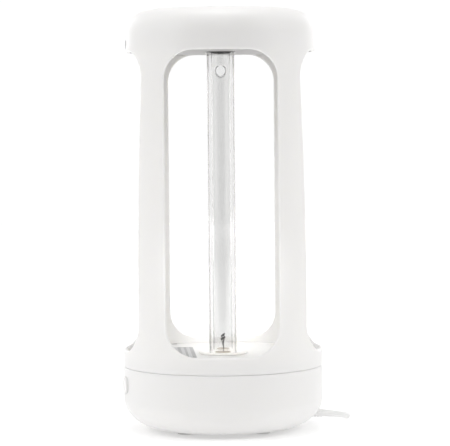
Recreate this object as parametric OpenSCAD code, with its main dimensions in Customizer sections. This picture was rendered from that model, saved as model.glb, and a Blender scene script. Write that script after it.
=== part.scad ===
// Free-standing ultraviolet tube lamp: round open housing on a cup-shaped base.
// Millimetres. Origin at the middle of the rubber feet's lowest plane, +Z up, the front faces -Y.

/* [Housing] */
// Overall height, feet included
total_h = 328; // [310:1:350]
// Outer radius of the base and of the housing's foot
body_r = 77.7; // [76:0.1:80]
// Wall thickness of the mouldings
wall = 2.8; // [2.2:0.1:3.2]
// Height of the seam between the housing and the base cup
seam_z = 50.4; // [48:0.1:52]
// Width of the seam groove
seam_gap = 0.5; // [0.3:0.1:0.8]

/* [Windows] */
// Height of the window sill
sill_z = 63.8; // [62:0.1:66]
// Height of the window's top edge, flush with the ceiling
ceiling_z = 294; // [288:0.5:296]
// Half of a window's width
window_half = 42.6; // [38:0.1:44]
// Corner radius of a window
window_r = 22; // [14:0.5:26]

/* [Lamp] */
// Outer radius of one quartz tube
tube_r = 10.7; // [9:0.1:11.5]
// Distance between the two tubes' axes
tube_pitch = 24.5; // [23.5:0.1:26]
// Wall thickness of the quartz
tube_wall = 1.2; // [0.9:0.1:1.6]
// Height of the tube ends
tube_top = 306; // [300:0.5:308]
// Height of the bridge between the tubes
bridge_z = 279.6; // [270:0.2:284]
// Outer radius of the bridge
bridge_r = 4.8; // [3.5:0.1:5]
// Half of the lamp base's width
lamp_base_r = 19; // [18:0.1:20]

/* [Deck] */
// Height of the deck's upper face
deck_z = 59.5; // [58:0.1:61]
// Thickness of the deck plate
deck_t = 2.5; // [2:0.1:3]

/* [Base] */
// Turn of the base's button and cord about the vertical axis
base_turn = 14.5; // [0:0.5:20]
// Radius of the power button
button_r = 6.75; // [6:0.05:7]
// Height of the power button's axis
button_z = 36.5; // [35:0.5:37]
// How far the button stands out of the base
button_proud = 1.6; // [1.5:0.1:2.2]
// How far the rubber feet hold the base off the table
foot_h = 2.4; // [2:0.1:3]

/* [Mains cord] */
// Diameter of the cord
cord_d = 4.2; // [4.2:0.1:4.2]

/* [Hidden] */
$fn = 48;

eps = 0.01;
// The wall leans in above taper_z, along an arc of radius taper_arc.
taper_z = 100;
taper_arc = 4750;
// Rounded shoulder of the cap, and the shallow dome above it
cap_w = 24;
cap_h = 23;
cap_power = 2.6;
dome_h = 1;
cap_z = total_h - dome_h - cap_h;
// Rounded lower corner of the base cup
base_z = foot_h;
corner_w = 28;
corner_h = 23;
fit = 0.3;
ledge_r = 72.3;
pilot_r = 1.2;
screw_r = 1.45;

// Screw posts of the cap and of the base
cap_post_r = 63;
base_post_r = 42;
post_split_z = 30;
ceiling_t = 1.6;

// Electronics in the base
board_z = 10;
board_t = 1.6;
board_top = board_z + board_t;
board_r = 50;
board_screw_angles = [60, 150, 315];
holder_z = 27.5;
lamp_base_z = 42;
pin_r = 1.2;
pin_pitch = 9;
switch_board_x = -52.4;

// Channel for the sensor's leads, on the rear left pillar
channel_turn = 138.5;
lead_pass_r = 70.3;

// Cord exit, in the turned frame of the base: a line that leans down a little outwards
exit_r = 72;
exit_z = 8;
exit_lean = 4;
relief_in = 14;
clamp_r = 63.5;
clamp_z = 12;
relief_out = 9;
cord_r = cord_d / 2;

// Radius of the body's outside at a height on the wall
function wall_r(z) = body_r - pow(max(0, z - taper_z), 2) / (2 * taper_arc);

// Outline of the housing above the seam, moved in by t
function housing_side(t) = concat(
    [[body_r - t, seam_z + seam_gap / 2], [body_r - t, taper_z]],
    [for (i = [1:8]) let (z = taper_z + (cap_z - taper_z) * i / 8) [wall_r(z) - t, z]],
    [for (a = [10:10:90]) [
        wall_r(cap_z) - cap_w + (cap_w - t) * pow(max(0, cos(a)), 2 / cap_power),
        cap_z + (cap_h - t) * pow(sin(a), 2 / cap_power)]],
    [[wall_r(cap_z) / 3, total_h - t - dome_h / 4], [0, total_h - t]]);

// Outline of the base cup's outside below the seam, moved in by t
function cup_side(t) = concat(
    [[0, base_z + t]],
    [for (a = [0:9:90]) [body_r - corner_w + (corner_w - t) * sin(a),
        base_z + corner_h - (corner_h - t) * cos(a)]],
    [[body_r - t, seam_z - seam_gap / 2]]);

function reversed(list) = [for (i = [len(list) - 1:-1:0]) list[i]];

module at_corners(r) {
    for (a = [45:90:315]) rotate(a) translate([r, 0, 0]) children();
}

module in_base() {
    rotate(base_turn) children();
}

// A bar with round ends along Y, centred, with its middle line from -half to +half
module oval_bar(r, half, h) {
    for (s = [-1, 1]) translate([0, s * half, 0]) cylinder(r = r, h = h);
    translate([-r, -half, 0]) cube([2 * r, 2 * half, h]);
}

// A pan-head screw that points up, with its head's underside at z = 0
module screw(length, head_r = 2.8, head_h = 1.6) {
    difference() {
        translate([0, 0, -head_h]) cylinder(r = head_r, h = head_h);
        for (a = [0, 90]) rotate(a) translate([-1.6, -0.35, -head_h - eps]) cube([3.2, 0.7, 0.9]);
    }
    translate([0, 0, -eps]) cylinder(r = pilot_r, h = length);
}

/* Swept tubes: a polyhedron with rings of points along a smooth route */
function unit(v) = v / norm(v);
function spline(p, i, t) = let (
    a = p[max(0, i - 1)], b = p[i], c = p[i + 1], d = p[min(len(p) - 1, i + 2)])
    0.5 * (2 * b + (c - a) * t + (2 * a - 5 * b + 4 * c - d) * t * t
        + (3 * b - a - 3 * c + d) * t * t * t);
function smooth(p, n) = concat(
    [for (i = [0:len(p) - 2]) for (k = [0:n - 1]) spline(p, i, k / n)], [p[len(p) - 1]]);
function along(p, i) = unit(p[min(len(p) - 1, i + 1)] - p[max(0, i - 1)]);
function sideways(t) = abs(t[2]) > 0.9 ? unit(cross(t, [1, 0, 0])) : unit(cross(t, [0, 0, 1]));
function ring(c, t, r, sides) = let (u = sideways(t), v = cross(u, t))
    [for (k = [0:sides - 1]) c + r * (cos(360 * k / sides) * u + sin(360 * k / sides) * v)];

module tube(route, r, sides = 8, steps = 1) {
    p = steps > 1 ? smooth(route, steps) : route;
    n = len(p);
    points = [for (i = [0:n - 1]) each ring(p[i], along(p, i), r, sides)];
    walls = [for (i = [0:n - 2]) for (k = [0:sides - 1]) let (a = i * sides, k2 = (k + 1) % sides)
        each [[a + k, a + k2, a + sides + k2], [a + k, a + sides + k2, a + sides + k]]];
    polyhedron(points, concat([[for (k = [sides - 1:-1:0]) k]], walls,
        [[for (k = [0:sides - 1]) (n - 1) * sides + k]]));
}

/* Upper housing and cap */
module window_shape() {
    w = window_half - window_r;
    low = sill_z + window_r;
    high = ceiling_z - window_r;
    for (x = [-w, w]) for (z = [low, high]) translate([x, z]) circle(r = window_r);
    translate([-w, sill_z]) square([2 * w, ceiling_z - sill_z]);
    translate([-window_half, low]) square([2 * window_half, high - low]);
}

module windows() {
    for (a = [0, 90]) rotate(a) translate([0, body_r + 5, 0]) rotate([90, 0, 0])
        linear_extrude(2 * body_r + 10) window_shape();
}

module sensor_place() {
    rotate(183.5) translate([0, 0, 300]) rotate([0, 90, 0]) children();
}

module upper_housing() color("white") {
    difference() {
        rotate_extrude($fn = 96)
            polygon(concat(housing_side(0), reversed(housing_side(wall))));
        windows();
        sensor_place() translate([0, 0, 60]) cylinder(r = 3.8, h = 20);
    }
    // posts that the ceiling plate is screwed to
    difference() {
        intersection() {
            at_corners(cap_post_r) translate([0, 0, ceiling_z + ceiling_t])
                cylinder(r = 3.6, h = 30);
            rotate_extrude($fn = 96) polygon(concat(housing_side(wall / 2), [[0, seam_z]]));
        }
        at_corners(cap_post_r) translate([0, 0, ceiling_z]) cylinder(r = pilot_r, h = 14);
    }
    // ledge that the deck clamps down onto the base cup's lip
    rotate_extrude($fn = 96) translate([ledge_r, seam_z + 4.2])
        square([body_r - wall + 0.5 - ledge_r, deck_z - deck_t - seam_z - 4.2]);
}

module ceiling_plate() color("white") difference() {
    translate([0, 0, ceiling_z])
        cylinder(r = wall_r(ceiling_z) - wall - fit, h = ceiling_t, $fn = 96);
    translate([0, 0, ceiling_z - 1]) {
        oval_bar(tube_r + 1, tube_pitch / 2, ceiling_t + 2);
        at_corners(cap_post_r) cylinder(r = screw_r, h = ceiling_t + 2);
        rotate(channel_turn) translate([67.4, 0, 0]) cylinder(r = 2, h = ceiling_t + 2);
    }
}

module ceiling_screws() color("silver")
    at_corners(cap_post_r) translate([0, 0, ceiling_z]) screw(10);

module tube_grommet() color("gray") difference() {
    translate([0, 0, ceiling_z + ceiling_t]) oval_bar(tube_r + 4.5, tube_pitch / 2, 5);
    for (s = [-1, 1]) translate([0, s * tube_pitch / 2, ceiling_z])
        cylinder(r = tube_r + 0.1, h = 12);
}

module sensor_window() color("black") sensor_place() {
    translate([0, 0, 69]) cylinder(r = 3.65, h = wall_r(300) - 69 + 0.35);
    translate([0, 0, 68.2]) cylinder(r = 4.3, h = 1.2);
}

module sensor_board() color("green") rotate(183.5)
    translate([62.4, -11, ceiling_z + ceiling_t]) cube([1.6, 22, 16]);

module sensor_receiver() color("black") sensor_place()
    translate([0, 0, 64]) cylinder(r = 2.5, h = 4);

/* Lamp */
module quartz_lamp() color("lightcyan", 0.4) {
    half = tube_pitch / 2;
    inner = tube_r - tube_wall;
    low = lamp_base_z + 8;
    difference() {
        union() {
            for (s = [-1, 1]) translate([0, s * half, 0]) {
                translate([0, 0, low]) cylinder(r = tube_r, h = tube_top - tube_r - low);
                translate([0, 0, tube_top - tube_r]) sphere(r = tube_r);
            }
            translate([0, half, bridge_z]) rotate([90, 0, 0])
                cylinder(r = bridge_r, h = tube_pitch);
        }
        for (s = [-1, 1]) translate([0, s * half, 0]) {
            translate([0, 0, low - 1]) cylinder(r = inner, h = tube_top - tube_r - low + 1);
            translate([0, 0, tube_top - tube_r]) sphere(r = inner);
        }
        translate([0, half, bridge_z]) rotate([90, 0, 0])
            cylinder(r = bridge_r - 1, h = tube_pitch);
    }
}

module at_leads() {
    for (s = [-1, 1]) translate([0.6, s * 1.2, 0]) children();
}

module cement_discs() color("tan") for (s = [-1, 1])
    translate([0, s * tube_pitch / 2, lamp_base_z + 8]) difference() {
        union() {
            cylinder(r = tube_r - tube_wall - 0.1, h = 9.7);
            cylinder(r = 6.4, h = 10.6);
        }
        at_leads() translate([0, 0, -1]) cylinder(r = 0.4, h = 16);
    }

// Two lead wires through the cement disc, and the filament coil held between their ends
module cathode() {
    low = lamp_base_z + 4.5;
    tube([[0.6, -1.2, low], [0.6, -1.2, 63], [0.2, -1.2, 66], [-1.1, -1.3, 71.4]], 0.3, 6, 4);
    tube([[0.6, 1.2, low], [0.6, 1.2, 63], [0.3, 1.2, 66], [1.2, 1.3, 72.4]], 0.3, 6, 4);
    translate([0.1, 0, 72]) rotate([0, 70, 50]) translate([0, 0, -2.2])
        cylinder(r = 0.8, h = 4.4);
}

module front_cathode() color("dimgray") translate([0, -tube_pitch / 2, 0]) cathode();
module rear_cathode() color("dimgray") translate([0, tube_pitch / 2, 0]) cathode();

module lamp_base() color("ivory") difference() {
    union() {
        translate([0, 0, deck_z + fit]) oval_bar(lamp_base_r, 6.25, 1.4);
        translate([0, 0, lamp_base_z])
            oval_bar(lamp_base_r - 3.5, 8.6, deck_z + fit + eps - lamp_base_z);
    }
    for (s = [-1, 1]) translate([0, s * tube_pitch / 2, lamp_base_z + 8 - 0.1])
        cylinder(r = tube_r + 0.05, h = 20);
    for (s = [-1, 1]) translate([0, s * tube_pitch / 2, lamp_base_z + 4]) at_leads()
        cylinder(r = 0.5, h = 6);
    for (i = [-1.5:1:1.5]) translate([0, i * pin_pitch, lamp_base_z - 1])
        cylinder(r = pin_r + 0.05, h = 5);
}

module lamp_pins() color("goldenrod") for (i = [-1.5:1:1.5])
    translate([0, i * pin_pitch, lamp_base_z - 8]) {
        cylinder(r = pin_r, h = 12);
        sphere(r = pin_r);
    }

module lamp_holder() color("whitesmoke") difference() {
    union() {
        translate([-13, -21, holder_z]) cube([26, 42, lamp_base_z - fit - holder_z]);
        for (s = [-1, 1]) translate([0, s * 27, lamp_base_z - fit - 4]) cylinder(r = 5, h = 4);
        translate([-5, -27, lamp_base_z - fit - 4]) cube([10, 54, 4]);
    }
    for (i = [-1.5:1:1.5]) translate([0, i * pin_pitch, lamp_base_z - 10.5])
        cylinder(r = pin_r + 0.25, h = 12);
    for (i = [-1.5:1:1.5]) translate([-1.5, i * pin_pitch - 1.5, holder_z - 1])
        cube([3, 3, lamp_base_z - 10.5 - holder_z + 1.1]);
    for (s = [-1, 1]) translate([0, s * 28, holder_z]) cylinder(r = screw_r, h = 20);
}

module holder_contacts() color("gold") for (i = [-1.5:1:1.5])
    translate([0, i * pin_pitch, holder_z - 3]) {
        translate([-1.2, -0.4, 0]) cube([2.4, 0.8, lamp_base_z - 8 - pin_r - holder_z + 3]);
    }

module holder_screws() color("silver") for (s = [-1, 1])
    translate([0, s * 28, lamp_base_z - fit - 4]) screw(10);

/* Deck */
module deck_plate() color("white") {
    difference() {
        translate([0, 0, deck_z - deck_t]) cylinder(r = body_r - wall - fit, h = deck_t, $fn = 96);
        translate([0, 0, deck_z - 4]) oval_bar(lamp_base_r - 3.2, 8.6, 8);
        for (a = [122, 302]) rotate(a) translate([body_r - wall - 2, -3, deck_z - 4])
            cube([4, 6, 8]);
        rotate(channel_turn) translate([lead_pass_r, 0, deck_z - 4]) cylinder(r = 1.6, h = 8);
    }
    at_corners(base_post_r) translate([0, 0, post_split_z]) difference() {
        cylinder(r = 4, h = deck_z - deck_t - post_split_z + eps);
        translate([0, 0, -eps]) cylinder(r = pilot_r, h = 14);
    }
    for (s = [-1, 1]) translate([0, s * 28, lamp_base_z]) difference() {
        cylinder(r = 3.6, h = deck_z - deck_t - lamp_base_z + eps);
        translate([0, 0, -eps]) cylinder(r = pilot_r, h = 10);
    }
}

module rating_plate() color("gray")
    translate([-41, -1, deck_z]) rotate(3.5) translate([-19, -37, 0]) cube([38, 74, 0.4]);

/* Channel inside the rear left pillar, with the sensor's leads */
function wall_strip(t0, t1, z0, z1) = let (zs = concat([z0], [for (i = [0:7])
    taper_z + (z1 - taper_z) * i / 8], [z1]))
    concat([for (z = zs) [wall_r(z) - t0, z]], [for (z = reversed(zs)) [wall_r(z) - t1, z]]);

module wire_channel() color("white") difference() {
    rotate(channel_turn - 3.2) rotate_extrude(angle = 6.4, $fn = 96)
        polygon(wall_strip(wall + 0.15, wall + 6.4, deck_z + 0.1, ceiling_z - 2.8));
    rotate(channel_turn - 2.2) rotate_extrude(angle = 4.4, $fn = 96)
        polygon(wall_strip(wall - 1, wall + 5.2, deck_z - 1, ceiling_z + 1));
}

module sensor_leads() color("gray") rotate(channel_turn) for (s = [-1, 1])
    tube([[46.5, 41.5 + s * 1.2, 302], [45, 39 + s * 1.2, 303],
        [55, 26 + s * 1.2, 303], [64, 9 + s * 1.2, 301.5], [67, 2 + s, 298], [67.4, s, 293],
        [68.4, s, 270], [70.4, s, 200], [72, s, 110], [72, s, 75], [lead_pass_r, s * 0.8, 64],
        [lead_pass_r, s * 0.8, 56], [66, 2 + s, 46], [60, 6 + s, 30], [52, 9 + s * 1.6, 18],
        [46, 9 + s * 1.8, 15], [44, 9 + s * 1.8, board_top]], 0.55, 6, 2);

/* Base */
module exit_place() {
    in_base() translate([exit_r, 0, exit_z]) rotate([0, 90 + exit_lean, 0]) children();
}

module base_cup() color("white") difference() {
    union() {
        difference() {
            rotate_extrude($fn = 96) polygon(cup_side(0));
            rotate_extrude($fn = 96) polygon(concat(cup_side(wall), [[0, seam_z + 1],
                [body_r - wall, seam_z + 1]]));
        }
        // lip that centres the housing's foot
        rotate_extrude($fn = 96) polygon([[body_r - wall + 0.5, seam_z - 4.4],
            [body_r - wall + 0.5, seam_z - 1], [body_r - wall - fit, seam_z - 1],
            [body_r - wall - fit, seam_z + 4], [body_r - 2 * wall, seam_z + 4],
            [body_r - 2 * wall, seam_z - 2]]);
        at_corners(base_post_r) translate([0, 0, base_z + 0.6])
            cylinder(r = 4, h = post_split_z - base_z - 0.6);
        for (a = board_screw_angles) rotate(base_turn + a) translate([33, 0, base_z + 1])
            cylinder(r = 3, h = board_z - base_z - 1);
        in_base() {
            for (s = [-1, 1]) translate([switch_board_x - 2.9, s * 13.2 - 1.8, base_z + 1])
                cube([5.2, 3.6, 41]);
            for (s = [-1, 1]) translate([clamp_r, s * 7.5, base_z + 4.9])
                cylinder(r = 2.6, h = clamp_z - base_z - 4.9);
        }
    }
    at_corners(base_post_r) {
        translate([0, 0, -1]) cylinder(r = screw_r, h = 40);
        translate([0, 0, -1]) cylinder(r = 3.1, h = 8);
    }
    for (a = board_screw_angles) rotate(base_turn + a) translate([33, 0, base_z + 1.6])
        cylinder(r = 0.9, h = 12);
    in_base() {
        translate([-body_r - 2, 0, button_z]) rotate([0, 90, 0])
            cylinder(r = button_r + 0.25, h = 8);
        translate([switch_board_x - 1.75, -12.2, 25]) cube([1.9, 24.4, 30]);
        for (s = [-1, 1]) translate([clamp_r, s * 7.5, clamp_z - 4]) cylinder(r = 0.9, h = 12);
    }
    exit_place() translate([0, 0, -20]) cylinder(r = 3.4, h = 40);
    exit_place() translate([0, 0, -relief_in - fit]) cylinder(r = 4.6, h = 3.1);
}

module base_screws() color("silver")
    at_corners(base_post_r) translate([0, 0, 7]) screw(33);

module rubber_feet() color("dimgray") at_corners(base_post_r) difference() {
    union() {
        cylinder(r1 = 6, r2 = 6.6, h = base_z);
        translate([0, 0, base_z - eps]) cylinder(r = 3, h = 1.5);
    }
    translate([0, 0, -1]) cylinder(r = 1, h = 1.8);
}

module board_place(x, y) {
    in_base() translate([x, y, board_top]) children();
}

module circuit_board() color("seagreen") difference() {
    translate([0, 0, board_z]) cylinder(r = board_r, h = board_t, $fn = 96);
    at_corners(base_post_r) translate([0, 0, board_z - 1]) {
        cylinder(r = 5, h = 4);
        translate([0, -5, 0]) cube([12, 10, 4]);
    }
    for (a = board_screw_angles) rotate(base_turn + a) translate([33, 0, board_z - 1])
        cylinder(r = 1.2, h = 4);
}

module board_screws() color("silver") for (a = board_screw_angles) rotate(base_turn + a)
    translate([33, 0, board_top]) rotate([180, 0, 0]) {
        translate([0, 0, -1.4]) cylinder(r = 2.4, h = 1.4);
        cylinder(r = 0.9, h = 7);
    }

module choke_core() color("dimgray") board_place(0, 4) {
    for (z = [0, 7.5]) translate([-9, -8, z]) cube([18, 16, 3]);
    for (y = [-8, 5]) translate([-9, y, 0]) cube([18, 3, 10.5]);
}

module choke_coil() color("orange") board_place(0, 4) difference() {
    translate([-12, -4.7, 3.2]) cube([24, 9.4, 4.1]);
    translate([-8, -5, 3]) cube([16, 0.8, 5]);
}

module capacitor() color("midnightblue") board_place(-30, 4) {
    cylinder(r = 6.3, h = 18);
    translate([0, 0, 17]) cylinder(r = 5.7, h = 1.6);
}

module film_capacitors() color("firebrick") {
    board_place(-9, -32) cube([18, 7, 12]);
    board_place(-9, -22) cube([15, 6, 8]);
}

module filter_coil() color("darkorange") board_place(26, -12)
    rotate_extrude() translate([5.5, 3]) circle(r = 2.8);

module fuse() color("lightgray") board_place(34, -4) {
    translate([-3, 2.8, 2.6]) rotate([0, 90, 0]) cylinder(r = 2.4, h = 9);
    for (x = [-3, 4]) translate([x, 2.4, 0]) cube([2, 0.8, 2]);
}

module transistors() color("black") for (x = [-8, 2]) board_place(x, 33)
    cube([7, 3, 12]);

module heat_sink() color("silver") board_place(-12, 36.2) difference() {
    cube([24, 4, 15]);
    for (x = [2:4:20]) translate([x, 1.6, -1]) cube([2, 3, 17]);
}

module terminal_block() color("forestgreen") board_place(33, 2.2) difference() {
    cube([9, 12, 9]);
    for (y = [3, 9]) {
        translate([5, y, 4]) rotate([0, 90, 0]) cylinder(r = 1.5, h = 8);
        translate([4.5, y, 6]) cylinder(r = 1.4, h = 4);
    }
}

/* Power button and switch */
module button_place(x) {
    in_base() translate([x, 0, button_z]) rotate([0, 90, 0]) children();
}

module power_button() color("white") {
    face = -body_r - button_proud;
    flange = -74;
    difference() {
        union() {
            button_place(face + 0.6) cylinder(r = button_r, h = flange - face);
            button_place(face) cylinder(r1 = button_r - 0.6, r2 = button_r, h = 0.6 + eps);
            button_place(flange) cylinder(r = 8.2, h = 1.2);
            button_place(flange) cylinder(r = 3, h = 7.6);
        }
        button_place(flange - 3.4) difference() {
            cylinder(r = button_r - 1.4, h = 8);
            translate([0, 0, -1]) cylinder(r = 3, h = 12);
        }
    }
}

module switch_plunger() color("ivory") button_place(-66.4) cylinder(r = 1.8, h = 6.4);

module switch_body() color("black") in_base() difference() {
    translate([-62.4, -6, button_z - 6]) cube([switch_board_x - 1.6 + 62.4, 12, 12]);
    translate([-63, 0, button_z]) rotate([0, 90, 0]) cylinder(r = 2.1, h = 5.2);
}

module switch_board() color("seagreen") in_base()
    translate([switch_board_x - 1.6, -12, 25]) cube([1.6, 24, 21]);

/* Wiring */
module lamp_leads() color("white") for (i = [0:3]) let (y = (i - 1.5) * pin_pitch)
    tube([[0, y, holder_z - 3], [6, y, holder_z - 3.3], [13, y, 22.5], [17, y * 0.85, 17],
        [17.5, y * 0.8, board_top]], 0.8, 6, 3);

module switch_leads() color("red") in_base() for (s = [-1, 1])
    tube([[switch_board_x, s * 4, 30], [switch_board_x + 6, s * 4, 28],
        [switch_board_x + 10, s * 3.4, 18], [switch_board_x + 10.6, s * 3.4, board_top]],
        0.8, 6, 4);

module mains_leads() color("brown") in_base() for (s = [-1, 1])
    tube([[exit_r - relief_in - 0.2, s * 1.1, exit_z + 1], [54, s * 1.8 + 1, 11],
        [48, s * 2.6 + 6, 15], [42.2, s * 3 + 8.2, 15.6]], 0.9, 6, 4);

/* Cord */
module cord_clamp() color("white") in_base() translate([clamp_r, 0, clamp_z]) difference() {
    translate([-2.7, -10.5, 0]) cube([5.4, 21, 2]);
    for (s = [-1, 1]) translate([0, s * 7.5, -1]) cylinder(r = screw_r, h = 4);
}

module clamp_screws() color("silver") in_base() for (s = [-1, 1])
    translate([clamp_r, s * 7.5, clamp_z + 2]) rotate([180, 0, 0]) {
        translate([0, 0, -1.4]) cylinder(r = 2.4, h = 1.4);
        cylinder(r = 0.9, h = 5.5);
    }

module strain_relief() color("white") exit_place() difference() {
    union() {
        translate([0, 0, -relief_in]) cylinder(r = 3.2, h = relief_in);
        cylinder(r1 = 2.7, r2 = cord_r + 0.25, h = relief_out);
        translate([0, 0, -relief_in]) cylinder(r = 4.3, h = 2.5);
    }
    translate([0, 0, relief_out - 8]) cylinder(r = cord_r, h = 9);
}

// The cord's route from inside the strain relief to the coil, along the floor behind the base
lead_route = [[75, 19.4, 7.6], [79.5, 20.6, 7.3], [84.2, 21.8, 6.9], [89.1, 23.7, 6.4],
    [93.7, 27.3, 5.6], [97.1, 31.6, 4.6], [99.2, 36.7, 3.6], [99.9, 42.1, 2.8],
    [99.2, 47.5, 2.3], [97.1, 52.6, 2.1], [93.2, 57.5, 2.1], [83.4, 67, 2.1],
    [73.4, 76.6, 2.1], [63, 86.6, 2.1], [51.4, 98.1, 2.1], [45, 106, 2.1], [41.2, 115, 2.1],
    [40, 124, 2.1]];
// The stored length: a flat coil of two layers, four turns wide
coil_y = 124;
coil_in = 17.9;
coil_out = 42.1;
coil_h = 8.4;
// From the coil's upper layer down to the plug
tail_route = [[-17.5, 154.3, 6.3], [-26.2, 149.3, 6.3], [-34.9, 144, 6.2], [-43, 138.4, 5],
    [-49.6, 132.6, 3.3], [-54.8, 125.6, 2.9], [-57.8, 117.6, 3.7], [-58.6, 109.6, 5],
    [-58.6, 103, 5.5]];
plug_x = -58.6;
plug_y = 107;

module cord_lead() color("white") tube(lead_route, cord_r, 10, 2);

module cord_coil() color("white") translate([0, coil_y, 0]) rotate_extrude($fn = 96)
    polygon([[coil_in, 2], [coil_in + 2, 0], [coil_out - 2, 0], [coil_out, 2],
        [coil_out, coil_h - 2], [coil_out - 2, coil_h], [coil_in + 2, coil_h],
        [coil_in, coil_h - 2]]);

module cord_tail() color("white") tube(tail_route, cord_r, 10, 2);

module cord_tie() color("black") translate([0, coil_y, 0]) difference() {
    translate([-5, coil_in - 1.2, 0]) cube([10, coil_out - coil_in + 2.4, coil_h + 1.2]);
    translate([-6, coil_in, -1]) cube([12, coil_out - coil_in, coil_h + 1]);
}

module plug_body() color("white") translate([plug_x, plug_y, 6.5]) rotate([90, 0, 0])
difference() {
    union() {
        translate([0, -1, 0]) cylinder(r1 = 3.6, r2 = 4.6, h = 14);
        translate([-8.5, -6.5, 13]) cube([17, 13, 18]);
        for (s = [-1, 1]) translate([s * 8.5, 0, 13]) cylinder(r = 6.5, h = 18);
    }
    translate([0, -1, -1]) cylinder(r = cord_r + 0.05, h = 5);
}

module plug_pins() color("silver") translate([plug_x, plug_y - 31, 6.5]) rotate([90, 0, 0])
    for (s = [-1, 1]) translate([s * 9.5, 0, 0]) {
        cylinder(r = 2, h = 17);
        translate([0, 0, 17]) sphere(r = 2);
    }

upper_housing();
ceiling_plate();
tube_grommet();
ceiling_screws();
sensor_window();
sensor_board();
sensor_receiver();
quartz_lamp();
cement_discs();
front_cathode();
rear_cathode();
lamp_base();
lamp_pins();
lamp_holder();
holder_contacts();
holder_screws();
deck_plate();
rating_plate();
wire_channel();
sensor_leads();
base_cup();
base_screws();
rubber_feet();
circuit_board();
board_screws();
choke_coil();
choke_core();
capacitor();
film_capacitors();
filter_coil();
fuse();
transistors();
heat_sink();
terminal_block();
power_button();
switch_plunger();
switch_body();
switch_board();
lamp_leads();
switch_leads();
mains_leads();
cord_clamp();
clamp_screws();
strain_relief();
cord_lead();
cord_coil();
cord_tail();
cord_tie();
plug_body();
plug_pins();
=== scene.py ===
import math

import bmesh
import bpy
from bpy.props import FloatProperty, FloatVectorProperty, PointerProperty
from mathutils import Matrix, Vector


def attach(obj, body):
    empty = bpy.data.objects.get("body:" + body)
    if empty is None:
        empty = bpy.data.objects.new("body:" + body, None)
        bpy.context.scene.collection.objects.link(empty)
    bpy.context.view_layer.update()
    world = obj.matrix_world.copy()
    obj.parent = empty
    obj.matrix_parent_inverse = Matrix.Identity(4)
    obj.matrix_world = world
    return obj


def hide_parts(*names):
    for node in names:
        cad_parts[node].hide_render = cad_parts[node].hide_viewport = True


bl_info = {
    "name": "Ultraviolet Tube Lamp",
    "version": (1, 0, 0),
    "blender": (4, 5, 0),
    "location": "3D View > Sidebar > Tube Lamp",
    "description": "Builds a round ultraviolet tube lamp around its packed frame",
    "category": "Add Mesh",
}

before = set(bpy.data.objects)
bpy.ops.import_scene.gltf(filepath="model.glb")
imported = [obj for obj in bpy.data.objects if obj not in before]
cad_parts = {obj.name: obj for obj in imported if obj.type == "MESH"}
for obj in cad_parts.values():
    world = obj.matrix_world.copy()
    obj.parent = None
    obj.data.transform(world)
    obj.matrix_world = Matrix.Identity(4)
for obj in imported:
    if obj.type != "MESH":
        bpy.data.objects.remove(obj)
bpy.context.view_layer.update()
MM = 0.001

# Fixed places of the design, in metres
SEAM_Z = 0.0504
SEAM_GAP = 0.0002
TAPER_Z = 0.100
TAPER_ARC = 4.75
CAP_Z = 0.304
CAP_W = 0.024
CAP_H = 0.023
CAP_POWER = 2.6
DOME_H = 0.001
BASE_Z = 0.0024
CORNER_W = 0.028
CORNER_H = 0.023
SILL_Z = 0.0638
CEILING_Z = 0.294
TUBE_HALF_PITCH = 0.01225
TUBE_FOOT_Z = 0.050
TUBE_TOP_Z = 0.306
BRIDGE_Z = 0.2796
DECK_Z = 0.0595
BASE_TURN = math.radians(14.5)
BUTTON_Z = 0.0365
BUTTON_FACE_X = -0.0793
BUTTON_FLANGE_X = -0.074
SENSOR_TURN = math.radians(183.5)
SENSOR_Z = 0.300
EXIT_R = 0.072
EXIT_Z = 0.008
EXIT_LEAN = math.radians(4)
FOOT_R = 0.042
COIL_Y = 0.124
PLUG_AT = (-0.0586, 0.107, 0.0065)

# The cord's route, the same points as in the part's source
LEAD = [(75, 19.4, 7.6), (79.5, 20.6, 7.3), (84.2, 21.8, 6.9), (89.1, 23.7, 6.4),
        (93.7, 27.3, 5.6), (97.1, 31.6, 4.6), (99.2, 36.7, 3.6), (99.9, 42.1, 2.8),
        (99.2, 47.5, 2.3), (97.1, 52.6, 2.1), (93.2, 57.5, 2.1), (83.4, 67, 2.1),
        (73.4, 76.6, 2.1), (63, 86.6, 2.1), (51.4, 98.1, 2.1), (45, 106, 2.1),
        (41.2, 115, 2.1)]
TAIL = [(-17.5, 154.3, 6.3), (-26.2, 149.3, 6.3), (-34.9, 144, 6.2), (-43, 138.4, 5),
        (-49.6, 132.6, 3.3), (-54.8, 125.6, 2.9), (-57.8, 117.6, 3.7), (-58.6, 109.6, 5),
        (-58.6, 103, 5.5)]


# --- Sizes and colours that a user may change -----------------------------------------------

def length(name, description, default):
    return FloatProperty(name=name, description=description, default=default, unit="LENGTH",
                         precision=4)


def colour(name, description, default):
    return FloatVectorProperty(name=name, description=description, default=default,
                               subtype="COLOR", size=3, min=0, max=1)


class LampSizes(bpy.types.PropertyGroup):
    """Sizes of the lamp's visible pieces"""
    body_r: length("Body radius", "Outer radius of the base and of the housing's foot", 0.0777)
    wall: length("Wall", "Thickness of the mouldings", 0.0028)
    window_half: length("Window half width", "Half of a window's clear width", 0.0426)
    window_r: length("Window corner", "Corner radius of a window", 0.022)
    edge_r: length("Window edge", "Rounding of a window's outer edge", 0.0018)
    tube_r: length("Tube radius", "Outer radius of one quartz tube", 0.0107)
    tube_wall: length("Tube wall", "Wall thickness of the quartz", 0.0012)
    bridge_r: length("Bridge radius", "Outer radius of the bridge between the tubes", 0.0048)
    button_r: length("Button radius", "Radius of the power button", 0.00675)
    cord_d: length("Cord diameter", "Diameter of the mains cord", 0.0042)


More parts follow.
